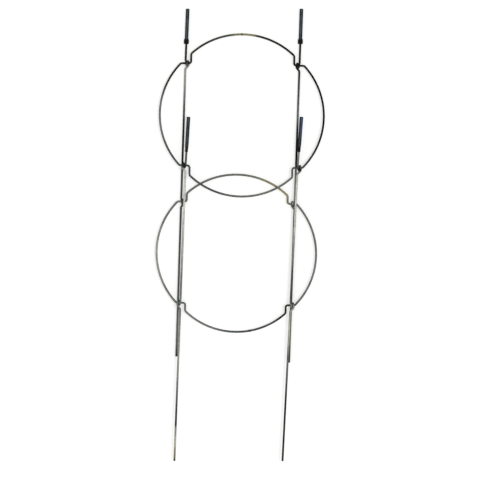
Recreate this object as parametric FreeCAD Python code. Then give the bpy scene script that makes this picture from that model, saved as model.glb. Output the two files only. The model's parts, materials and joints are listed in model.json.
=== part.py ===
import FreeCAD, Part
import math
import os

# A round tomato cage of quarter-inch steel rod, folded flat and lying on the ground.
# X runs across the cage, Y runs along the legs towards their sockets, and Z is up.
# The rear legs lie under the rings and the front legs lie over them. Each leg turns one
# coil eye round a straight step of each ring, and these eyes are the cage's only hinges.
# Sizes are in millimetres and angles in degrees.

# Rod and hinge fit
rod_d = 6.35               # rod of the legs and the rings
eye_play = 0.35            # room between a coil eye and the step that it turns on
fold_play = 0.35           # room between a rod and the eye that it folds against
strand_gap = 0.9           # room between the two strands of an eye

# Rings: two hinge rows with a step at each end, shoulders, and four arcs
hinge_row_gap = 317.5      # from the rear hinge row to the front one, along the ring
ring_spacing = 431.8       # from the upper ring to the lower one, along the legs
upper_shoulder_x = 158.75  # from the middle of the ring to its shoulders
lower_shoulder_x = 156.0
upper_step = 31.0          # straight step that carries an eye, from corner to corner
lower_step = 28.0
upper_shoulder = 30.0      # from the hinge row out to the start of an end arc
lower_shoulder = 25.5
ring_drift = 1.37          # slant of the line from the upper ring's middle to the lower's
arc_rise = 42.0            # slope at which an arc leaves its corner
shoulder_bend_r = 7.0      # right-angle bend between a step and its shoulder
arc_bend_r = 10.0          # bend between a corner and an arc
bend_lead = 1.5            # straight rod from a bend to the next arc or step
weld_d = 7.9               # collar of the butt weld that closes a ring
weld_len = 4.5
weld_slope_len = 1.5       # each end of the collar, where it falls to the rod
weld_root = 0.5            # depth of the collar's ends in the rod
upper_weld_x = -3.0        # place of the weld, from the middle of its ring
lower_weld_x = 46.0

# Legs, measured along them from the upper hinge row
rear_left_head = 168.0     # up to the mouth of the socket
rear_right_head = 175.5
front_left_head = 152.7
front_right_head = 160.7
rear_left_tail = 922.5     # down to the tip
rear_right_tail = 933.2
front_left_tail = 933.3
front_right_tail = 925.7
tip_chamfer = 0.8
leg_bend_r = 9.0           # bends above and below an eye
eye_entry = 9.0            # where a leg bends towards its eye, above the hinge row
eye_exit = 7.0             # where the rod bends back below its eye
eye_return = 18.0          # where it is back on the leg's line, below the hinge row
eye_lead = 25.0            # half the length of leg that an eye and its bends take up
eye_straight = 3.0         # straight rod at the lower end of that length

# Sockets: a tube crimped on the head of each leg
tube_d = 11.0
socket_bore_d = 7.2
socket_depth = 92.0        # from the mouth down to the crimp
grip_len = 17.0            # length of the crimp
rod_recess = 1.0           # from the top of the crimp down to the end of the rod
grip_play = 0.05           # room left round the rod by the crimp
crimp_d = 10.0             # round middle of the crimp
neck_len = 8.0             # where the tube narrows to the crimp
wing_w = 15.4              # over the two flattened wings of the crimp
wing_t = 3.6
wing_shoulder_len = 9.0    # where the wings run out into the tube
wing_corner_r = 2.5
mouth_chamfer = 0.5

# Each leg: its side of the cage, its level (-1 under the rings, 1 over them), how far its
# line is outside the upper ring's shoulder, its lean below and above the upper eye, and
# the turn of its crimp about the rod. The leans are those of hand-bent rod.
legs = {
    "rear_leg_left": dict(side=-1, level=-1, outside=17.5, lean=1.0, head_lean=1.5,
                          crimp_turn=0.0, head=rear_left_head, tail=rear_left_tail),
    "rear_leg_right": dict(side=1, level=-1, outside=16.3, lean=1.0, head_lean=0.9,
                           crimp_turn=0.0, head=rear_right_head, tail=rear_right_tail),
    "front_leg_left": dict(side=-1, level=1, outside=12.0, lean=1.35, head_lean=2.7,
                           crimp_turn=90.0, head=front_left_head, tail=front_left_tail),
    "front_leg_right": dict(side=1, level=1, outside=16.3, lean=1.9, head_lean=3.4,
                            crimp_turn=60.0, head=front_right_head, tail=front_right_tail),
}

# Sizes that follow from the ones above. Folded flat, a ring's front hinge row is one rod
# higher than its rear row, because the rear rods lie under the eyes of the front legs.
rod_r = rod_d / 2
eye_r = rod_d + eye_play
eye_pitch = rod_d + strand_gap
eye_slope = eye_pitch / (2 * math.pi * eye_r)
fold_rise = rod_d + fold_play
fold_angle = math.asin(fold_rise / hinge_row_gap)
front_row_y = -hinge_row_gap * math.cos(fold_angle)
ring_y = {"upper": 0.0, "lower": -ring_spacing}
ring_x = {"upper": 0.0, "lower": -ring_spacing * math.tan(math.radians(ring_drift))}
rise_slope = math.tan(math.radians(arc_rise))
arc_bend_reach = arc_bend_r * math.tan(math.radians(90 - arc_rise) / 2)


def bend(before, corner, after, radius):
    """Start, middle and end of the arc that rounds a corner of a rod's centre line."""
    way_in = (corner - before).normalize()
    way_out = (after - corner).normalize()
    half_turn = way_in.getAngle(way_out) / 2
    reach = radius * math.tan(half_turn)
    inward = (way_out - way_in).normalize()
    middle = corner + inward * (radius / math.cos(half_turn) - radius)
    return corner - way_in * reach, middle, corner + way_out * reach


def straight_rod(start, end):
    """Straight length of rod."""
    return Part.makeCylinder(rod_r, start.distanceToPoint(end), start, end - start)


def bent_way(points, radii):
    """Straight runs joined by arcs, with a radius for each inner point."""
    edges = []
    reached = points[0]
    for before, corner, after, radius in zip(points, points[1:], points[2:], radii):
        start, middle, end = bend(before, corner, after, radius)
        edges.append(Part.makeLine(reached, start))
        edges.append(Part.Arc(start, middle, end).toShape())
        reached = end
    edges.append(Part.makeLine(reached, points[-1]))
    return edges


def swept_rod(edges):
    """Rod swept along the edges of its centre line."""
    start = edges[0].valueAt(edges[0].FirstParameter)
    way = edges[0].tangentAt(edges[0].FirstParameter)
    section = Part.Circle(start, way, rod_r).toBSpline().toShape()
    return Part.Wire(edges).makePipeShell([Part.Wire(section)], True, False)


# Rings

def arc_radius(half_chord):
    """Radius of the arc that fills the chord between two corners of a ring."""
    return (half_chord / math.cos(math.radians(arc_rise)) - arc_bend_reach - bend_lead) / rise_slope


def on_ring(which, x, up):
    """Point of a folded ring, from the middle of the ring and in its slanting plane."""
    down = hinge_row_gap / 2 - up
    return FreeCAD.Vector(ring_x[which] + x,
                          ring_y[which] - down * math.cos(fold_angle),
                          down * math.sin(fold_angle))


def ring_rod(which, shoulder_x, step, shoulder):
    """Closed loop of rod: four straight steps, an arc at each side between two of them, and
    an arc with two shoulders at each end."""
    row = hinge_row_gap / 2
    outer = shoulder_x + step
    inner_x = shoulder_x + shoulder_bend_r + bend_lead
    outer_x = outer - arc_bend_reach - bend_lead
    side_way = [(outer, row, arc_bend_r),
                (outer + row * rise_slope, 0.0, arc_radius(row)),
                (outer, -row, arc_bend_r)]
    end = row + shoulder
    end_way = [(shoulder_x, row, shoulder_bend_r),
               (shoulder_x, end, arc_bend_r),
               (0.0, end + shoulder_x * rise_slope, arc_radius(shoulder_x)),
               (-shoulder_x, end, arc_bend_r),
               (-shoulder_x, row, shoulder_bend_r)]
    lengths = []
    for sign in (1, -1):
        for way, start, stop in ((side_way, (outer_x, row), (outer_x, -row)),
                                 (end_way, (inner_x, row), (-inner_x, row))):
            points = [on_ring(which, sign * x, sign * up)
                      for x, up in [start] + [place[:2] for place in way] + [stop]]
            lengths.append(swept_rod(bent_way(points, [radius for x, up, radius in way])))
        for x, up in ((sign, row), (sign, -row)):
            lengths.append(straight_rod(on_ring(which, x * inner_x, up),
                                        on_ring(which, x * outer_x, up)))
    return lengths[0].fuse(lengths[1:])


def weld_collar(which, shoulder_x, shoulder, weld_x, end_sign):
    """Raised collar where the ring's two ends are butt welded, on one of its end arcs."""
    end_r = arc_radius(shoulder_x)
    end_apex = hinge_row_gap / 2 + shoulder + shoulder_x * rise_slope
    hub_up = end_apex - end_r / math.cos(math.radians(arc_rise))
    hub = on_ring(which, 0.0, end_sign * hub_up)
    weld_up = hub_up + math.sqrt(end_r ** 2 - weld_x ** 2)
    place = on_ring(which, weld_x, end_sign * weld_up)
    upright = FreeCAD.Vector(0, math.sin(fold_angle), math.cos(fold_angle))
    along = (place - hub).cross(upright).normalize()
    half = weld_len / 2
    flat = half - weld_slope_len
    root_r = rod_r - weld_root
    profile = [(0, -half), (root_r, -half), (weld_d / 2, -flat), (weld_d / 2, flat),
               (root_r, half), (0, half), (0, -half)]
    outline = Part.makePolygon([FreeCAD.Vector(r, 0, z) for r, z in profile])
    collar = Part.Face(outline).revolve(FreeCAD.Vector(), FreeCAD.Vector(0, 0, 1), 360)
    turned = FreeCAD.Rotation(upright, FreeCAD.Vector(), along, "ZXY")
    collar.Placement = FreeCAD.Placement(place, turned)
    return collar


def ring(which, shoulder_x, step, shoulder, weld_x, end_sign):
    """One ring, closed by its weld."""
    rod = ring_rod(which, shoulder_x, step, shoulder)
    collar = weld_collar(which, shoulder_x, shoulder, weld_x, end_sign)
    return rod.fuse(collar).removeSplitter()


# Legs

def row_of(leg, which):
    """The y and z of the hinge row that a leg turns on, at one of the rings."""
    if leg["level"] < 0:
        return ring_y[which], 0.0
    return ring_y[which] + front_row_y, fold_rise


def leg_point(leg, y):
    """Point of a leg's line at a height y."""
    top_y, row_z = row_of(leg, "upper")
    lean = leg["head_lean"] if y > top_y else leg["lean"]
    x = leg["side"] * (upper_shoulder_x + leg["outside"])
    x += (y - top_y) * math.tan(math.radians(lean))
    return FreeCAD.Vector(x, y, row_z + leg["level"] * eye_r)


def eye_way(leg, which):
    """Centre line of a leg from its line into an eye, once round, and back to its line, as
    far as the straight rod that ends the eye's length. A rear eye goes inwards along its
    step, and a front eye goes outwards."""
    row_y, row_z = row_of(leg, which)
    aside = FreeCAD.Vector(leg["side"] * leg["level"], 0, 0)
    way = FreeCAD.Vector(0, -1, 0) + aside * eye_slope
    entry = leg_point(leg, row_y + eye_entry)
    first = entry + way * eye_entry
    last = first + aside * eye_pitch
    turn = Part.makeHelix(eye_pitch, eye_pitch, eye_r, 0, leg["side"] < 0)
    turned = FreeCAD.Rotation(FreeCAD.Vector(0, 0, leg["level"]), FreeCAD.Vector(), aside, "ZXY")
    turn.Placement = FreeCAD.Placement(FreeCAD.Vector(first.x, row_y, row_z), turned)
    before = [leg_point(leg, row_y + eye_lead), entry, first]
    after = [last, last + way * eye_exit, leg_point(leg, row_y - eye_return),
             leg_point(leg, row_y - eye_lead + eye_straight)]
    return bent_way(before, [leg_bend_r]) + turn.Edges + bent_way(after, [leg_bend_r] * 2)


def head_way(leg):
    """Direction of a leg's head, towards its socket's mouth."""
    lean = math.radians(leg["head_lean"])
    return FreeCAD.Vector(math.sin(lean), math.cos(lean), 0)


def tail_way(leg):
    """Direction of a leg's tail, towards its tip."""
    lean = math.radians(leg["lean"])
    return FreeCAD.Vector(-math.sin(lean), -math.cos(lean), 0)


def socket_floor(leg):
    """Where a leg's socket ends and its crimp begins."""
    return leg_point(leg, row_of(leg, "upper")[0]) + head_way(leg) * (leg["head"] - socket_depth)


def tip(leg):
    """The end of a leg that goes in the soil, or in another cage's socket."""
    return leg_point(leg, row_of(leg, "upper")[0]) + tail_way(leg) * leg["tail"]


def leg_rod(leg):
    """A leg as five lengths of rod that meet face to face: its head, an eye, the run between
    the eyes, the other eye, and its tail with a chamfered tip. An eye's length starts and
    ends on the leg's line."""
    lengths = []
    reached = socket_floor(leg) - head_way(leg) * rod_recess
    for which in ("upper", "lower"):
        row_y = row_of(leg, which)[0]
        start = leg_point(leg, row_y + eye_lead)
        bent_end = leg_point(leg, row_y - eye_lead + eye_straight)
        end = leg_point(leg, row_y - eye_lead)
        lengths.append(straight_rod(reached, start))
        lengths.append(swept_rod(eye_way(leg, which)).fuse(straight_rod(bent_end, end)))
        reached = end
    chamfer_start = tip(leg) - tail_way(leg) * tip_chamfer
    cone = Part.makeCone(rod_r, rod_r - tip_chamfer, tip_chamfer, chamfer_start, tail_way(leg))
    lengths.append(straight_rod(reached, chamfer_start).fuse(cone))
    return Part.makeCompound(lengths)


# Sockets

def lathe(profile):
    """Solid turned about the socket's own axis from pairs of radius and height."""
    outline = Part.makePolygon([FreeCAD.Vector(r, 0, z) for r, z in profile + profile[:1]])
    return Part.Face(outline).revolve(FreeCAD.Vector(), FreeCAD.Vector(0, 0, 1), 360)


def crimp_wings():
    """The two flattened wings of a crimp, as one rounded plate through the tube."""
    half = wing_w / 2
    inner = socket_bore_d / 2
    widest = -wing_shoulder_len / 2
    top = wing_shoulder_len / 2
    outline = [FreeCAD.Vector(x, 0, z) for x, z in
               ((half, -grip_len), (half, widest), (inner, top),
                (-inner, top), (-half, widest), (-half, -grip_len))]
    plate = Part.Face(Part.makePolygon(outline + outline[:1]))
    plate = plate.extrude(FreeCAD.Vector(0, wing_t, 0))
    plate.translate(FreeCAD.Vector(0, -wing_t / 2, 0))
    across = [edge for edge in plate.Edges if abs(edge.CenterOfMass.y) < wing_t / 4]
    corners = [edge for edge in across if edge.CenterOfMass.z < 0]
    return plate.makeFillet(wing_corner_r, corners)


def socket():
    """A socket with the top of its crimp at the origin and its mouth up."""
    outer = lathe([(0, -grip_len), (crimp_d / 2, -grip_len), (crimp_d / 2, -neck_len / 2),
                   (tube_d / 2, neck_len / 2), (tube_d / 2, socket_depth), (0, socket_depth)])
    bore_r = socket_bore_d / 2
    grip_r = rod_r + grip_play
    bore = lathe([(0, 0), (bore_r, 0), (bore_r, socket_depth - mouth_chamfer),
                  (bore_r + mouth_chamfer, socket_depth), (0, socket_depth)])
    grip = Part.makeCylinder(grip_r, grip_len, FreeCAD.Vector(0, 0, -grip_len))
    return outer.fuse(crimp_wings()).cut(bore.fuse(grip)).removeSplitter()


def socket_on(leg):
    """A socket crimped on a leg's head, with its wings turned as they are on that leg."""
    way = head_way(leg)
    across = FreeCAD.Vector(way.y, -way.x, 0)
    turn = math.radians(leg["crimp_turn"])
    wing_way = across * math.cos(turn) + FreeCAD.Vector(0, 0, math.sin(turn))
    turned = FreeCAD.Rotation(wing_way, FreeCAD.Vector(), way, "ZXY")
    piece = socket()
    piece.Placement = FreeCAD.Placement(socket_floor(leg), turned)
    return piece


# The whole cage, moved so that it lies on the ground with the origin under its middle

pieces = {"upper_ring": ring("upper", upper_shoulder_x, upper_step, upper_shoulder,
                             upper_weld_x, 1),
          "lower_ring": ring("lower", lower_shoulder_x, lower_step, lower_shoulder,
                             lower_weld_x, -1)}
for name, leg in legs.items():
    pieces[name] = leg_rod(leg)
    pieces[name.replace("leg", "socket")] = socket_on(leg)

box = Part.makeCompound(list(pieces.values())).optimalBoundingBox(False, False)
to_origin = FreeCAD.Vector(-box.Center.x, -box.Center.y, -box.ZMin)
os.makedirs("parts", exist_ok=True)
for name, piece in pieces.items():
    piece.translate(to_origin)
    piece.exportStep(f"parts/{name}.step")
    print(name, "valid", piece.isValid(), "solids", len(piece.Solids),
          "volume", round(piece.Volume))

# Places that a user of the part needs, in its own frame
print("size", [round(size, 2) for size in (box.XLength, box.YLength, box.ZLength)])
print("fold angle at rest", round(math.degrees(fold_angle), 3))
for which in ("upper", "lower"):
    for level, row in ((-1, "rear"), (1, "front")):
        y, z = row_of(dict(level=level), which)
        place = FreeCAD.Vector(ring_x[which], y, z) + to_origin
        print(which, "ring,", row, "hinge row", [round(value, 3) for value in place])
for name, leg in legs.items():
    mouth = socket_floor(leg) + head_way(leg) * socket_depth + to_origin
    print(name, "mouth", [round(value, 3) for value in mouth], "facing",
          [round(value, 5) for value in head_way(leg)], "tip",
          [round(value, 3) for value in tip(leg) + to_origin], "facing",
          [round(value, 5) for value in tail_way(leg)])
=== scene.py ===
# %% [markdown]
# # A folding tomato cage in Blender
#
# The cage is two wire rings and four bent legs of quarter-inch steel rod, folded flat on the
# ground. Each leg carries a dark steel socket that takes the tip of another cage's leg. The
# rods come from the frame at their real size, and this lesson gives them their surface:
# weathered zinc with grime at the coil eyes and burnt scale at the welds. The sockets are
# modelled here, with the rounded mouth, the dented crimp and the weld seam that the plain
# ones lack.

# %% The frame
import json
import math

import bmesh
import bpy
from mathutils import Matrix, Vector, noise


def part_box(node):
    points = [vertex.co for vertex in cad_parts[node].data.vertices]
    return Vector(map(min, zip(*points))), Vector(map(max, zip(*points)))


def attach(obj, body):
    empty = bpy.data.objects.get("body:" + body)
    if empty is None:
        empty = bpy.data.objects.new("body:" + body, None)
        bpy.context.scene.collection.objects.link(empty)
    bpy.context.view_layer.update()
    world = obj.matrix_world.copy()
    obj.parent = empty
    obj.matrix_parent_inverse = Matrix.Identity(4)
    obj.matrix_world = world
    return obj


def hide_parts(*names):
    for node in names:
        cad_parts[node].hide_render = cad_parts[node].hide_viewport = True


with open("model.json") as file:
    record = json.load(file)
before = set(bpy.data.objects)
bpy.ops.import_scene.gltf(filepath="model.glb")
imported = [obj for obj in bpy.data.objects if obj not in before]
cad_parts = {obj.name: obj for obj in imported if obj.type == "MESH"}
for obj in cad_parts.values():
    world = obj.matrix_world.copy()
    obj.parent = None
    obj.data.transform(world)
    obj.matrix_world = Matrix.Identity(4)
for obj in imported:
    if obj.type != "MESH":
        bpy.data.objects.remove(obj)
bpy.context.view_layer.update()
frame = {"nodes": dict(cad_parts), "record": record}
record = frame["record"]
mounts = {mount["name"]: mount for mount in record["mounts"]}
body_of = {node: body for body, nodes in record["behaviour"]["bodies"].items() for node in nodes}
MM = 0.001
print("nodes", sorted(frame["nodes"]))

# %% [markdown]
# ## The camera
#
# The photograph was taken from nearly straight above and from far away, so the cage shows
# almost no perspective. The three small turns below take the cage's own axes to the
# camera's. They were fitted to the joints and the rod ends that the photograph shows.

# %% The camera
view_tilt = math.radians(10.17)     # leans the far end of the cage away from the camera
view_turn = math.radians(-2.47)
view_roll = math.radians(-1.35)
camera_distance = 16.531
frame_width = 1.485                 # metres across the photograph at the cage
aim_right = 0.0027                  # middle of the photograph, from the cage's own middle
aim_up = -0.0105
aim_height = 0.015
sensor_width = 36.0

to_camera = (Matrix.Rotation(view_roll, 3, "Z") @ Matrix.Rotation(view_turn, 3, "Y")
             @ Matrix.Rotation(view_tilt, 3, "X"))
from_camera = to_camera.transposed()
camera_data = bpy.data.cameras.new("photo_camera")
camera_data.sensor_width = sensor_width
camera_data.lens = sensor_width * camera_distance / frame_width
camera_data.clip_end = 100.0
camera = bpy.data.objects.new("photo_camera", camera_data)
aim = Vector((0.0, 0.0, aim_height))
place = aim + from_camera @ Vector((aim_right, aim_up, camera_distance))
camera.matrix_world = Matrix.Translation(place) @ from_camera.to_4x4()
bpy.context.scene.collection.objects.link(camera)
bpy.context.scene.camera = camera
print("camera at", [round(value, 3) for value in place], "lens", round(camera_data.lens))

# %% [markdown]
# ## Two small helpers for materials
#
# Colours are written as sRGB hex values, as a colour picker shows them, and turned to the
# linear values that Blender's shaders use. One function adds a node, its settings and its
# links in a single call, which keeps each material short enough to read.


# %% Material helpers
def linear(hex_colour, alpha=1.0):
    """The linear colour of an sRGB hex value."""
    values = []
    for start in (0, 2, 4):
        value = int(hex_colour[start:start + 2], 16) / 255
        values.append(value / 12.92 if value <= 0.04045 else ((value + 0.055) / 1.055) ** 2.4)
    return (*values, alpha)


def add_node(tree, kind, settings=None, **inputs):
    """Adds a node. An input takes a value, or a socket that it is linked to. Underscores in
    an input's name stand for spaces, and an underscore with a number for its place."""
    node = tree.nodes.new(kind)
    for name, value in (settings or {}).items():
        setattr(node, name, value)
    for name, value in inputs.items():
        key = int(name[1:]) if name[1:].isdigit() else name.replace("_", " ")
        if isinstance(value, bpy.types.NodeSocket):
            tree.links.new(value, node.inputs[key])
        else:
            node.inputs[key].default_value = value
    return node


def new_material(name):
    """An empty material with its node tree."""
    material = bpy.data.materials.new(name)
    material.use_nodes = True
    material.node_tree.nodes.clear()
    return material, material.node_tree


# %% [markdown]
# ## Floor, sky and lamp
#
# The photograph's background is white, with faint and thin shadows close to the rods. The
# floor is a pale matte sheet. Rays that come straight from the camera, from a reflection or
# through glass also see a little added white, so the sheet reads as white while its shadows
# stay, and no extra light falls on the cage.

# %% Floor and sky
floor_side = 12.0
floor_colour = "E2E2E0"
floor_lift = 0.46                       # white added where the floor is seen directly
sky_fill = 0.62                         # strength of the sky's light on the cage
sun_strength = 0.7
sun_from = Vector((0.36, 0.14, 0.92))   # towards the lamp: from the right and above
sun_width = math.radians(14.0)


def seen_directly(tree):
    """1 for a ray from the camera, from a mirror-like surface or through glass."""
    path = add_node(tree, "ShaderNodeLightPath")
    either = add_node(tree, "ShaderNodeMath", {"operation": "MAXIMUM"},
                      _0=path.outputs["Is Camera Ray"], _1=path.outputs["Is Glossy Ray"])
    return add_node(tree, "ShaderNodeMath", {"operation": "MAXIMUM"},
                    _0=either.outputs[0], _1=path.outputs["Is Transmission Ray"]).outputs[0]


paper, tree = new_material("matte_paper")
matte = add_node(tree, "ShaderNodeBsdfDiffuse", Color=linear(floor_colour))
lift = add_node(tree, "ShaderNodeMath", {"operation": "MULTIPLY"},
                _0=seen_directly(tree), _1=floor_lift)
glow = add_node(tree, "ShaderNodeEmission", Strength=lift.outputs[0])
both = add_node(tree, "ShaderNodeAddShader", _0=matte.outputs[0], _1=glow.outputs[0])
add_node(tree, "ShaderNodeOutputMaterial", Surface=both.outputs[0])

floor_mesh = bpy.data.meshes.new("floor")
shape = bmesh.new()
bmesh.ops.create_grid(shape, x_segments=1, y_segments=1, size=floor_side / 2)
shape.to_mesh(floor_mesh)
shape.free()
floor_mesh.materials.append(paper)
floor = bpy.data.objects.new("floor", floor_mesh)
bpy.context.scene.collection.objects.link(floor)

world = bpy.data.worlds.new("white_sky")
world.use_nodes = True
tree = world.node_tree
tree.nodes.clear()
soft = add_node(tree, "ShaderNodeBackground", Strength=sky_fill, Color=linear("FFFFFF"))
white = add_node(tree, "ShaderNodeBackground", Strength=1.0, Color=linear("FFFFFF"))
sky = add_node(tree, "ShaderNodeMixShader", _0=seen_directly(tree), _1=soft.outputs[0],
               _2=white.outputs[0])
add_node(tree, "ShaderNodeOutputWorld", Surface=sky.outputs[0])
bpy.context.scene.world = world

sun_data = bpy.data.lights.new("high_sun", "SUN")
sun_data.energy = sun_strength
sun_data.angle = sun_width
sun = bpy.data.objects.new("high_sun", sun_data)
sun.rotation_euler = sun_from.to_track_quat("Z", "Y").to_euler()
bpy.context.scene.collection.objects.link(sun)
bpy.context.scene.view_settings.view_transform = "Standard"
print("floor", floor_side, "m, sun from", [round(value, 2) for value in sun_from])

# %% [markdown]
# ## Where the cage turns and was welded
#
# Where a leg's coil eye turns on a ring the rods are laid black: grime, with painted shade
# where the rods cross. The butt weld of each ring left burnt scale. Both places are measured
# on the frame's own rods: the middle of the rod's corners in a thin slice across it. Corners
# are sparse along an arc, so the two slices beside a weld, which give the rod's direction
# there, are thicker.

# %% Places on the rods
leg_slice = 2.5 * MM                    # a slice reaches this far to both sides
weld_slice = 2.6 * MM
beside_slice = 12 * MM
beside_weld = 22 * MM                   # from a weld to the slices beside it
end_arc_start = 100 * MM                # from the middle of a ring, along the legs
weld_place = {"upper_ring": (-0.7 * MM, 1), "lower_ring": (38 * MM, -1)}  # x, and which end


def slice_middle(node, axis, at, reach, keep=lambda co: True):
    """The middle of a node's corners within a thin slice across an axis."""
    points = [v.co for v in frame["nodes"][node].data.vertices
              if abs(v.co[axis] - at) < reach and keep(v.co)]
    return sum(points, Vector()) / len(points)


legs = ("rear_leg_left", "rear_leg_right", "front_leg_left", "front_leg_right")
row_y = {joint["name"]: joint["pos_m"][1] for joint in record["behaviour"]["joints"]}
for name, value in row_y.items():
    print(name, "turns at y", round(value, 4))

welds = {}
for node, (x, end) in weld_place.items():
    middle_y = (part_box(node)[0][1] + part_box(node)[1][1]) / 2
    before, weld, after = [
        slice_middle(node, 0, x + step, reach,
                     keep=lambda co: (co.y - middle_y) * end > end_arc_start)
        for step, reach in ((-beside_weld, beside_slice), (0.0, weld_slice),
                            (beside_weld, beside_slice))]
    welds[node] = (weld, (after - before).normalized())
    print(node, "welded at", [round(value / MM, 1) for value in weld], "mm")

eyes = {}
for leg in legs:
    rear = leg.startswith("rear")
    rows = ((row_y["upper_ring_fold"], row_y["lower_ring_fold"]) if rear else
            (row_y["front_left_fold"], row_y["front_left_fold"]
             + row_y["lower_ring_fold"] - row_y["upper_ring_fold"]))
    eyes[leg] = [slice_middle(leg, 1, y, leg_slice) for y in rows]
    print(leg, "eyes", [[round(value / MM) for value in eye] for eye in eyes[leg]], "mm")

# %% [markdown]
# ## Galvanised rod
#
# The rod is drawn steel with a hot-dip zinc skin that has weathered: a dull grey metal with
# faint crystals (spangle) a few millimetres across and small lumps of dross. It is bright
# where rods rub on each other in a stack, dark where the zinc has gone to grey patina, tan
# where zinc salts and soil have dried, and black at the eyes, with grime and painted shade
# where the rods cross. The flanks are painted darker than the top and the bottom, a painted
# shade, so each rod reads as round.
#
# Along a leg the tones come from one colour ramp. On a ring, and at each eye, they are round
# patches at given places. Both have soft edges that a noise makes uneven.

# %% Tones of the zinc
tones = {
    # At an eye this black tone is grime with painted shade where the rods cross.
    "grime": "171614",    # black dirt and oil at an eye, and scale at a weld
    "scale": "2E2C28",    # zinc burnt off, dark mill scale shows
    "slate": "4A5050",    # old patina, grey with a little green
    "dull": "6E726E",
    "plain": "969890",
    "bright": "C6C6BE",   # rubbed zinc
    "salts": "B0AE9C",    # tan bloom of zinc salts and dried soil
    "olive": "8C8664",
}
edge_tint = "8A8A86"                    # reflections at a grazing angle
print(len(tones), "tones:", ", ".join(tones))

# %% The patches
edge_size, edge_wander = 30 * MM, 9 * MM    # waves along the edges of the patches
patch_level = 15 * MM                       # height of the middle of a patch
patch_core = 0.45                           # share of its reach that keeps the full tone


def wandering(tree, where):
    """Places that a noise has moved a little, for uneven edges."""
    wander = add_node(tree, "ShaderNodeTexNoise", Vector=where, Scale=1 / edge_size, Detail=2.0)
    off = add_node(tree, "ShaderNodeVectorMath", {"operation": "MULTIPLY_ADD"},
                   _0=wander.outputs["Color"], _1=(2 * edge_wander,) * 3,
                   _2=(-edge_wander,) * 3)
    return add_node(tree, "ShaderNodeVectorMath", {"operation": "ADD"},
                    _0=where, _1=off.outputs[0]).outputs[0]


def ramp_along(tree, where, stops):
    """A colour ramp along the cage. The stops are pairs of a place in mm and a tone."""
    along = add_node(tree, "ShaderNodeSeparateXYZ", Vector=where).outputs["Y"]
    low, high = stops[0][0] * MM, stops[-1][0] * MM
    share = add_node(tree, "ShaderNodeMapRange", Value=along, From_Min=low, From_Max=high)
    ramp = add_node(tree, "ShaderNodeValToRGB", Fac=share.outputs[0])
    elements = ramp.color_ramp.elements
    while len(elements) < len(stops):
        elements.new(1.0)
    for element, (place_mm, tone) in zip(elements, stops):
        element.position = (place_mm * MM - low) / (high - low)
        element.color = linear(tones[tone])
    return ramp.outputs["Color"]


def patch(tree, where, colour, middle, reach, tone):
    """Lays one round patch over a colour, and gives back the new colour."""
    away = add_node(tree, "ShaderNodeVectorMath", {"operation": "DISTANCE"}, _0=where, _1=middle)
    share = add_node(tree, "ShaderNodeMapRange", {"interpolation_type": "SMOOTHSTEP"},
                     Value=away.outputs["Value"], From_Min=reach, From_Max=patch_core * reach)
    return add_node(tree, "ShaderNodeMix", {"data_type": "RGBA"}, Factor=share.outputs[0],
                    _6=colour, _7=linear(tones[tone])).outputs[2]


# %% Light and dark in the zinc
blotch_size = 45 * MM
blotch_dark, blotch_light = 0.78, 1.12
spangle_size = 5 * MM
spangle_dark, spangle_light = 0.76, 1.2
# Painted shade: the flanks are this much darker than the top and the bottom.
flank_painted_shade, top_painted_light = 0.34, 0.96


def zinc_tone_and_painted_shade(tree, texture):
    """A factor for the zinc's tone: cloudy, in crystals, and with painted shade on the flanks.
    """
    where = texture.outputs["Object"]
    blotch = add_node(tree, "ShaderNodeTexNoise", Vector=where, Scale=1 / blotch_size,
                      Detail=4.0, Roughness=0.65)
    cloudy = add_node(tree, "ShaderNodeMapRange", Value=blotch.outputs["Fac"],
                      From_Min=0.35, From_Max=0.65, To_Min=blotch_dark, To_Max=blotch_light)
    spangle = add_node(tree, "ShaderNodeTexVoronoi", Vector=where, Scale=1 / spangle_size)
    crystal = add_node(tree, "ShaderNodeMapRange", Value=spangle.outputs["Color"],
                       To_Min=spangle_dark, To_Max=spangle_light)
    # Painted shade: where the normal lies level, on the flanks, the rod is darkened so it reads
    # as round.
    up = add_node(tree, "ShaderNodeSeparateXYZ", Vector=texture.outputs["Normal"]).outputs["Z"]
    facing = add_node(tree, "ShaderNodeMath", {"operation": "ABSOLUTE"}, _0=up)
    flank = add_node(tree, "ShaderNodeMapRange", {"interpolation_type": "SMOOTHSTEP"},
                     Value=facing.outputs[0], From_Min=0.15, From_Max=0.95,
                     To_Min=flank_painted_shade, To_Max=top_painted_light)
    shade = add_node(tree, "ShaderNodeMath", {"operation": "MULTIPLY"},
                     _0=cloudy.outputs[0], _1=crystal.outputs[0])
    return add_node(tree, "ShaderNodeMath", {"operation": "MULTIPLY"},
                    _0=shade.outputs[0], _1=flank.outputs[0]).outputs[0]


# %% The galvanised skin
lump_size, lump_depth = 2.5 * MM, 0.3 * MM
grit_size, grit_depth = 0.8 * MM, 0.12 * MM
zinc_gloss, zinc_matte = 0.36, 0.58     # roughness between the grits and on them


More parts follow.
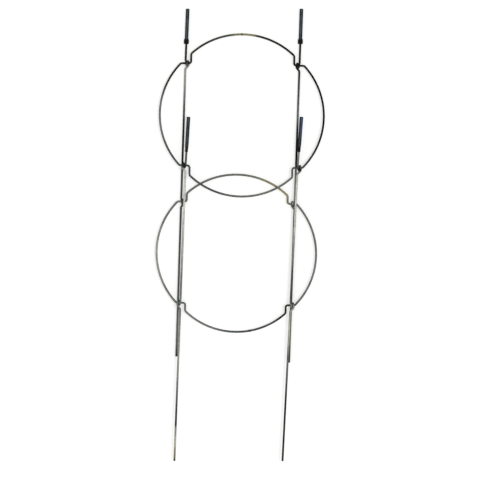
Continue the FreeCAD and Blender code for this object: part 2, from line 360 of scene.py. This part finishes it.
def weathered_zinc(name, stops=None, base=None, patches=()):
    """Old zinc, in tones along the rod or in one tone, with patches of (x, y, reach, tone)."""
    material, tree = new_material(name)
    texture = add_node(tree, "ShaderNodeTexCoord")
    where = texture.outputs["Object"]
    moved = wandering(tree, where)
    if stops:
        colour = ramp_along(tree, moved, stops)
    else:
        colour = add_node(tree, "ShaderNodeRGB").outputs[0]
        colour.default_value = linear(tones[base])
    for x, y, reach, tone in patches:
        colour = patch(tree, moved, colour, (x * MM, y * MM, patch_level), reach * MM, tone)
    surface = add_node(tree, "ShaderNodeVectorMath", {"operation": "SCALE"},
                       _0=colour, Scale=zinc_tone_and_painted_shade(tree, texture))
    lump = add_node(tree, "ShaderNodeTexNoise", Vector=where, Scale=1 / lump_size, Detail=1.0)
    grit = add_node(tree, "ShaderNodeTexNoise", Vector=where, Scale=1 / grit_size, Detail=2.0)
    matte = add_node(tree, "ShaderNodeMapRange", Value=grit.outputs["Fac"],
                     To_Min=zinc_gloss, To_Max=zinc_matte)
    lumps = add_node(tree, "ShaderNodeBump", Strength=0.6, Distance=lump_depth,
                     Height=lump.outputs["Fac"])
    rough = add_node(tree, "ShaderNodeBump", Strength=0.35, Distance=grit_depth,
                     Height=grit.outputs["Fac"], Normal=lumps.outputs[0])
    metal = add_node(tree, "ShaderNodeBsdfPrincipled", Base_Color=surface.outputs[0],
                     Metallic=0.8, Roughness=matte.outputs[0], Normal=rough.outputs[0])
    metal.inputs["Specular Tint"].default_value = linear(edge_tint)
    add_node(tree, "ShaderNodeOutputMaterial", Surface=metal.outputs[0])
    return material


# %% [markdown]
# ## Wear of each rod
#
# A cage that has stood outdoors is worn in its own way on each rod. A leg's stops are places
# along it, in millimetres from the middle of the cage, with the tone there. A ring has one
# tone all round, and patches given by their place, their reach and their tone. The black at
# the eyes, grime with painted shade where the rods cross, and the scale at the welds are laid
# over both, at the places measured above.

# %% Tones along the legs and round the rings
leg_tones = {
    "rear_leg_left": [(-385, "scale"), (-340, "dull"), (-60, "slate"), (120, "slate"),
                      (205, "slate"), (235, "grime"), (360, "scale"), (430, "dull"),
                      (480, "plain"), (525, "plain"), (548, "grime"), (620, "grime")],
    "rear_leg_right": [(-396, "scale"), (-330, "dull"), (-200, "scale"), (60, "scale"),
                       (115, "plain"), (205, "dull"), (235, "grime"), (340, "grime"),
                       (375, "dull"), (430, "slate"), (520, "scale"), (548, "grime"),
                       (640, "grime")],
    "front_leg_left": [(-713, "scale"), (-700, "olive"), (-650, "salts"), (-610, "plain"),
                       (-596, "scale"), (-540, "slate"), (-480, "dull"), (-420, "plain"),
                       (-300, "plain"), (-215, "dull"), (-180, "dull"), (-76, "plain"),
                       (100, "bright"), (200, "bright"), (216, "grime"), (235, "slate"),
                       (290, "slate")],
    "front_leg_right": [(-705, "scale"), (-520, "scale"), (-470, "slate"), (-376, "dull"),
                        (-300, "salts"), (-223, "plain"), (-190, "slate"), (-110, "slate"),
                        (-20, "plain"), (60, "bright"), (190, "bright"), (216, "grime"),
                        (235, "dull"), (290, "plain")],
}
ring_tones = {
    "upper_ring": ("slate", [(-160, 540, 170, "scale"), (-255, 370, 90, "dull"),
                             (225, 420, 230, "grime"), (110, 590, 110, "grime"),
                             (5, 625, 45, "olive"), (90, 110, 170, "dull")]),
    "lower_ring": ("dull", [(-265, -60, 120, "plain"), (250, -60, 130, "dull"),
                            (120, 160, 80, "olive"), (-120, -270, 100, "dull"),
                            (40, -285, 120, "slate"), (150, -240, 60, "scale")]),
}
for node, stops in leg_tones.items():
    print(node, len(stops), "stops")

# %% Finish of each rod
# Grime and painted shade: the rods are laid black round each eye, where they cross.
eye_grime_and_shade_reach = 9.0                         # reach of the grime at an eye, in mm
weld_scale = {"upper_ring": 3.0, "lower_ring": 9.0}


def black_patch_at(spot, reach):
    """A black patch at a measured place: grime and painted shade at an eye, scale at a weld."""
    return spot.x / MM, spot.y / MM, reach, "grime"


finish_of = {}
for leg, stops in leg_tones.items():
    eye_grime_and_shade = [black_patch_at(eye, eye_grime_and_shade_reach) for eye in eyes[leg]]
    finish_of[leg] = weathered_zinc(leg + "_weathered_zinc", stops=stops, patches=eye_grime_and_shade)
for row, (ring, (base, patches)) in enumerate(ring_tones.items()):
    eye_grime_and_shade = [black_patch_at(eyes[leg][row], eye_grime_and_shade_reach) for leg in legs]
    burn = black_patch_at(welds[ring][0], weld_scale[ring])
    finish_of[ring] = weathered_zinc(ring + "_weathered_zinc", base=base,
                                     patches=[*patches, *eye_grime_and_shade, burn])
    print(ring, len(patches), "patches,", len(eye_grime_and_shade), "eyes of grime and painted shade")

# %% [markdown]
# ## Smooth skins for the rods, and sheared tips
#
# The frame's rods are meshes of loose triangles with flat faces. A copy is merged, its
# normals are softened everywhere but at sharp corners, and the copy takes the node's place.
# A rod is cut to length in a shear, which leaves its end a little slanted, so the corners of
# each tip are moved back by a share of a millimetre on one side.

# %% Rod skins
sharp_edge = math.radians(35)
same_place = 0.001 * MM                 # corners closer than this are merged
shear_slant = 0.7 * MM
tip_chamfer = 0.8 * MM                  # from the end of the full rod to the cut
tip_slice = 0.1 * MM                    # corners this close to the cut belong to it
rod_radius = mounts["rear_left_leg_tip"]["dims"]["r_mm"] * MM


def smooth_shading(shape):
    """Smooth faces with sharp corners kept."""
    for face in shape.faces:
        face.smooth = True
    for edge in shape.edges:
        edge.smooth = edge.calc_face_angle(math.pi) < sharp_edge


def add_piece(name, shape, mesh, finish):
    """Writes a shape to a mesh and puts it in the scene as a piece with one finish."""
    shape.to_mesh(mesh)
    shape.free()
    mesh.materials.clear()
    mesh.materials.append(finish)
    piece = bpy.data.objects.new(name, mesh)
    bpy.context.scene.collection.objects.link(piece)
    return piece


def shear_tip(shape, mount):
    """Slants the cut end of a rod."""
    way = Vector(mount["axis"])
    tip = Vector(mount["pos_m"]) + way * (mount["dims"]["length_mm"] / 2 * MM + tip_chamfer)
    across = way.cross(Vector((0, 0, 1))).normalized()
    for vert in shape.verts:
        if (vert.co - tip).dot(way) > -tip_slice:
            share = 0.5 + (vert.co - tip).dot(across) / (2 * rod_radius)
            vert.co -= way * shear_slant * share


for node, finish in finish_of.items():
    mesh = frame["nodes"][node].data.copy()
    shape = bmesh.new()
    shape.from_mesh(mesh)
    bmesh.ops.remove_doubles(shape, verts=shape.verts, dist=same_place)
    tip_mount = mounts.get(node.replace("_leg", "") + "_leg_tip")
    if tip_mount:
        shear_tip(shape, tip_mount)
    smooth_shading(shape)
    mesh.clear_geometry()
    skin = add_piece(node + "_rod", shape, mesh, finish)
    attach(skin, body_of[node])
    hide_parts(node)
    print(node, len(mesh.polygons), "faces")

# %% [markdown]
# ## Sockets
#
# Each socket is a short steel tube, blued to near black, pushed over the head of a leg and
# pinched there so that two flat wings stand out and hold it. Its mouth is rounded, so that
# a leg's tip finds its way in, and a thin weld seam runs down one side, as on any rolled
# tube. A closed outline of the wall is spun round the tube's axis. The crimp is then pinched
# by moving the corners of its lower end, each to the outline of the wings at its own turn.

# %% The wall of a socket
# Sizes are in mm, and heights are from the top of the crimp.
tube_radius = 5.5
bore_radius = 3.6
grip_radius = 3.225
crimp_radius = 5.0
mouth_height = 92.0
neck_half = 4.5              # the tube narrows from this height to as far below
crimp_foot = -17.0
spin_steps = 72

foot_edge = [(grip_radius, crimp_foot), (4.3, crimp_foot), (4.8, -16.7)]
crimp_wall = [(crimp_radius, height) for height in
              (-16.0, -15.0, -14.0, -12.5, -11.0, -9.5, -8.0, -6.5, -5.5, -neck_half)]
neck = [(5.03, -3.0), (5.12, -1.5), (5.25, 0.0), (5.38, 1.5), (5.47, 3.0)]
tube_wall = [(tube_radius, height) for height in
             (neck_half, 6.0, 20.0, 40.0, 60.0, 80.0, 90.6)]
rounded_mouth = [(5.4, 91.3), (5.15, 91.75), (4.75, mouth_height), (4.25, 91.95),
                 (3.85, 91.6), (3.65, 91.0), (bore_radius, 90.2)]
bore_foot = [(bore_radius, 0.5), (grip_radius, 0.0)]
wall_outline = foot_edge + crimp_wall + neck + tube_wall + rounded_mouth + bore_foot
print("the wall's outline has", len(wall_outline), "corners")


# %% The pinched crimp
wing_half = 7.7
wing_half_thickness = 1.8
wing_corner = 2.5
press_depth = 0.45           # dent of the crimping tool on each broad side
press_height = -10.0         # middle of the dent
press_half = 4.5
press_power = 8              # a higher power makes a narrower dent
least = 1e-6                 # keeps a division from zero


def wing_reach(height):
    """How far a wing stands out from the axis at a height."""
    if height > neck_half:
        return 0.0
    if height > -neck_half:
        return wing_half + (bore_radius - wing_half) * (height + neck_half) / (2 * neck_half)
    rise = height - crimp_foot
    if rise < wing_corner:
        return wing_half - wing_corner + math.sqrt(wing_corner ** 2 - (wing_corner - rise) ** 2)
    return wing_half


def pinched_radius(radius, height, turn):
    """Radius of the outer wall at a height and at a turn from the wings' plane."""
    out = wing_reach(height) / max(abs(math.cos(turn)), least)
    thick = wing_half_thickness / max(abs(math.sin(turn)), least)
    away = (height - press_height) / press_half
    dent = press_depth * max(0.0, 1 - away ** 2) * math.sin(turn) ** press_power
    return max(radius - dent, min(out, thick))


# %% One socket
bore_side = grip_radius + 0.8           # corners nearer to the axis line the bore
seam_start = 5.0
seam_height = 0.16
seam_turn = math.radians(60)
seam_half_width = math.radians(2.6)
rounding = 0.01


def socket_shape():
    """One socket in mm, with the top of its crimp at the origin and its mouth up."""
    shape = bmesh.new()
    corners = [shape.verts.new((radius, 0, height)) for radius, height in wall_outline]
    for one, two in zip(corners, corners[1:] + corners[:1]):
        shape.edges.new((one, two))
    bmesh.ops.spin(shape, geom=shape.verts[:] + shape.edges[:], cent=(0, 0, 0), axis=(0, 0, 1),
                   angle=math.tau, steps=spin_steps, use_merge=True)
    bmesh.ops.remove_doubles(shape, verts=shape.verts, dist=same_place / MM)
    for vert in shape.verts:
        radius = math.hypot(vert.co.x, vert.co.y)
        if radius < bore_side:
            continue
        turn = math.atan2(vert.co.y, vert.co.x)
        wanted = pinched_radius(radius, vert.co.z, turn)
        on_tube = vert.co.z > seam_start and radius > tube_radius - rounding
        if on_tube and abs(turn - seam_turn) < seam_half_width:
            wanted += seam_height
        vert.co.x *= wanted / radius
        vert.co.y *= wanted / radius
    bmesh.ops.recalc_face_normals(shape, faces=shape.faces)
    return shape


# %% [markdown]
# ## Blued steel
#
# The tubes are oil-blued steel: a thin black oxide with a blue cast, smoother than the zinc.
# A soft bright line along the top is a painted highlight, and the black flanks are painted
# shade. Handling has scuffed small spots to plain steel, the crimps are darker, and a painted
# reflection of blue sky lies on the upper half of one tube's right flank.

# %% The bluing
# Painted shade on the flanks, and a cloudy painted highlight along the top.
flank_painted_shade_black, painted_highlight_dark, painted_highlight_light = "0E1012", "20262A", "48535C"
cloud_size = 22 * MM
# A painted reflection of blue sky, on one tube's right flank.
sky_reflection_blue = "4E5FA0"
sky_reflection_start, sky_reflection_full = 310 * MM, 345 * MM      # along the legs


def oxide_with_painted_light(tree, where, facing):
    """Black oxide with painted shade on the flanks and a cloudy painted highlight along the top.
    """
    cloud = add_node(tree, "ShaderNodeTexNoise", Vector=where, Scale=1 / cloud_size, Detail=4.0)
    tone = add_node(tree, "ShaderNodeMapRange", Value=cloud.outputs["Fac"],
                    From_Min=0.3, From_Max=0.7)
    painted_highlight_stripe = add_node(tree, "ShaderNodeMix", {"data_type": "RGBA"}, Factor=tone.outputs[0],
                      _6=linear(painted_highlight_dark), _7=linear(painted_highlight_light))
    # Painted highlight and shade: the top of the tube is light, its flanks black.
    top = add_node(tree, "ShaderNodeMapRange", {"interpolation_type": "SMOOTHSTEP"},
                   Value=facing.outputs["Z"], From_Min=0.72, From_Max=1.0)
    return add_node(tree, "ShaderNodeMix", {"data_type": "RGBA"}, Factor=top.outputs[0],
                    _6=linear(flank_painted_shade_black), _7=painted_highlight_stripe.outputs[2]).outputs[2]


def paint_sky_reflection(tree, where, facing, colour, strength):
    """Lays a painted reflection of blue sky over a colour, on the upper half of the right flank.
    """
    side = add_node(tree, "ShaderNodeMapRange", {"interpolation_type": "SMOOTHSTEP"},
                    Value=facing.outputs["X"], From_Min=0.1, From_Max=0.75, To_Max=strength)
    along = add_node(tree, "ShaderNodeSeparateXYZ", Vector=where).outputs["Y"]
    reflecting_height = add_node(tree, "ShaderNodeMapRange", {"interpolation_type": "SMOOTHSTEP"},
                   Value=along, From_Min=sky_reflection_start, From_Max=sky_reflection_full)
    reflection_share = add_node(tree, "ShaderNodeMath", {"operation": "MULTIPLY"},
                      _0=side.outputs[0], _1=reflecting_height.outputs[0])
    return add_node(tree, "ShaderNodeMix", {"data_type": "RGBA"}, Factor=reflection_share.outputs[0],
                    _6=colour, _7=linear(sky_reflection_blue)).outputs[2]


# %% Blued steel
scuff_size, scuff_depth = 2.0 * MM, 0.05 * MM
worn_steel = "7C858B"
blued_edge_tint = "6A6E72"
blued_gloss, blued_matte = 0.24, 0.44
crimp_dark_reach = 15 * MM
crimp_below_bore = 56 * MM              # from the middle of a bore to its crimp
crimps = [Vector(mount["pos_m"]) - Vector(mount["axis"]) * crimp_below_bore
          for name, mount in mounts.items() if name.endswith("_socket_bore")]


def blued_steel(name, sky_reflection_strength=0.0):
    """Blued tube steel, scuffed, darker round the crimps, with a painted blue sky reflection if
    asked.
    """
    material, tree = new_material(name)
    texture = add_node(tree, "ShaderNodeTexCoord")
    where = texture.outputs["Object"]
    facing = add_node(tree, "ShaderNodeSeparateXYZ", Vector=texture.outputs["Normal"])
    colour = oxide_with_painted_light(tree, where, facing)
    if sky_reflection_strength:
        colour = paint_sky_reflection(tree, where, facing, colour, sky_reflection_strength)
    # Each tube is darker round its crimp.
    for crimp in crimps:
        colour = patch(tree, where, colour, crimp, crimp_dark_reach, "grime")
    scuff = add_node(tree, "ShaderNodeTexNoise", Vector=where, Scale=1 / scuff_size, Detail=3.0,
                     Roughness=0.7)
    worn = add_node(tree, "ShaderNodeMapRange", Value=scuff.outputs["Fac"],
                    From_Min=0.66, From_Max=0.74, To_Max=0.5)
    colour = add_node(tree, "ShaderNodeMix", {"data_type": "RGBA"}, Factor=worn.outputs[0],
                      _6=colour, _7=linear(worn_steel)).outputs[2]
    gloss = add_node(tree, "ShaderNodeMapRange", Value=scuff.outputs["Fac"],
                     To_Min=blued_gloss, To_Max=blued_matte)
    bump = add_node(tree, "ShaderNodeBump", Strength=0.15, Distance=scuff_depth,
                    Height=scuff.outputs["Fac"])
    metal = add_node(tree, "ShaderNodeBsdfPrincipled", Base_Color=colour, Metallic=0.75,
                     Roughness=gloss.outputs[0], Normal=bump.outputs[0])
    metal.inputs["Specular Tint"].default_value = linear(blued_edge_tint)
    add_node(tree, "ShaderNodeOutputMaterial", Surface=metal.outputs[0])
    return material


plain_blued = blued_steel("blued_steel_tube")
# The right front tube carries a painted reflection of blue sky.
sky_reflecting_steel = blued_steel("sky_reflection_painted_blued_steel_tube", sky_reflection_strength=0.7)
print("materials", plain_blued.name, "and", sky_reflecting_steel.name)

# %% Four sockets on their legs
mouth_chamfer = 0.5                     # from the frame's bore up to its mouth, in mm
crimp_turn = {"rear_socket_left": 0, "rear_socket_right": 0,
              "front_socket_left": 90, "front_socket_right": 60}
for node, degrees in crimp_turn.items():
    mount = mounts[node.replace("_socket", "") + "_socket_bore"]
    way = Vector(mount["axis"]).normalized()
    mouth = Vector(mount["pos_m"]) + way * (mount["dims"]["length_mm"] / 2 + mouth_chamfer) * MM
    across = Vector((way.y, -way.x, 0)).normalized()
    turn = math.radians(degrees)
    wings = across * math.cos(turn) + Vector((0, 0, 1)) * math.sin(turn)
    turned = Matrix((wings, way.cross(wings), way)).transposed().to_4x4()
    shape = socket_shape()
    start = Matrix.Translation(mouth - way * mouth_height * MM)
    bmesh.ops.transform(shape, matrix=start @ turned @ Matrix.Scale(MM, 4), verts=shape.verts)
    smooth_shading(shape)
    finish = sky_reflecting_steel if node == "front_socket_right" else plain_blued
    tube = add_piece(node + "_tube", shape, bpy.data.meshes.new(node + "_tube"), finish)
    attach(tube, body_of[node])
    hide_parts(node)
    print(node, len(tube.data.polygons), "faces, mouth at",
          [round(value / MM, 1) for value in mouth], "mm")

# %% [markdown]
# ## Weld beads
#
# A ring's rod is bent round and its ends are butt welded. The heat upsets a small collar,
# and a ragged bead of melted steel stands round it. A ball is flattened along the rod and
# its corners are pushed in and out by a noise that is the same on each run.

# %% Burnt weld steel
crust_size, crust_depth = 1.2 * MM, 0.2 * MM
soot_black, rust_brown = "0E0D0C", "3A322A"
burnt, tree = new_material("burnt_weld_steel")
where = add_node(tree, "ShaderNodeTexCoord").outputs["Object"]
crust = add_node(tree, "ShaderNodeTexNoise", Vector=where, Scale=1 / crust_size, Detail=3.0)
soot = add_node(tree, "ShaderNodeMix", {"data_type": "RGBA"}, Factor=crust.outputs["Fac"],
                _6=linear(soot_black), _7=linear(rust_brown))
bump = add_node(tree, "ShaderNodeBump", Strength=0.6, Distance=crust_depth,
                Height=crust.outputs["Fac"])
crusty = add_node(tree, "ShaderNodeBsdfPrincipled", Base_Color=soot.outputs[2], Metallic=0.4,
                  Roughness=0.6, Normal=bump.outputs[0])
add_node(tree, "ShaderNodeOutputMaterial", Surface=crusty.outputs[0])
print("material", burnt.name)

# %% Weld beads
bead_radius = 4.15                      # sizes of a bead are in mm
bead_half_length = 1.9
bead_roughness = 0.45
bead_waves = 2.6                        # waves of the noise over the radius of the ball
bead_noise_place = Vector((7.0, 3.0, 10.0))
for ring, (middle, way) in welds.items():
    shape = bmesh.new()
    bmesh.ops.create_uvsphere(shape, u_segments=48, v_segments=24, radius=1.0)
    for vert in shape.verts:
        bulge = bead_roughness * noise.noise(vert.co * bead_waves + bead_noise_place)
        vert.co.x *= bead_radius + bulge
        vert.co.y *= bead_radius + bulge
        vert.co.z *= bead_half_length + bulge
    turned = way.to_track_quat("Z", "Y").to_matrix().to_4x4()
    bmesh.ops.transform(shape, matrix=Matrix.Translation(middle) @ turned @ Matrix.Scale(MM, 4),
                        verts=shape.verts)
    smooth_shading(shape)
    bead = add_piece(ring + "_weld_bead", shape, bpy.data.meshes.new(ring + "_weld_bead"), burnt)
    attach(bead, body_of[ring])
    print(bead.name, "at", [round(value / MM, 1) for value in middle])
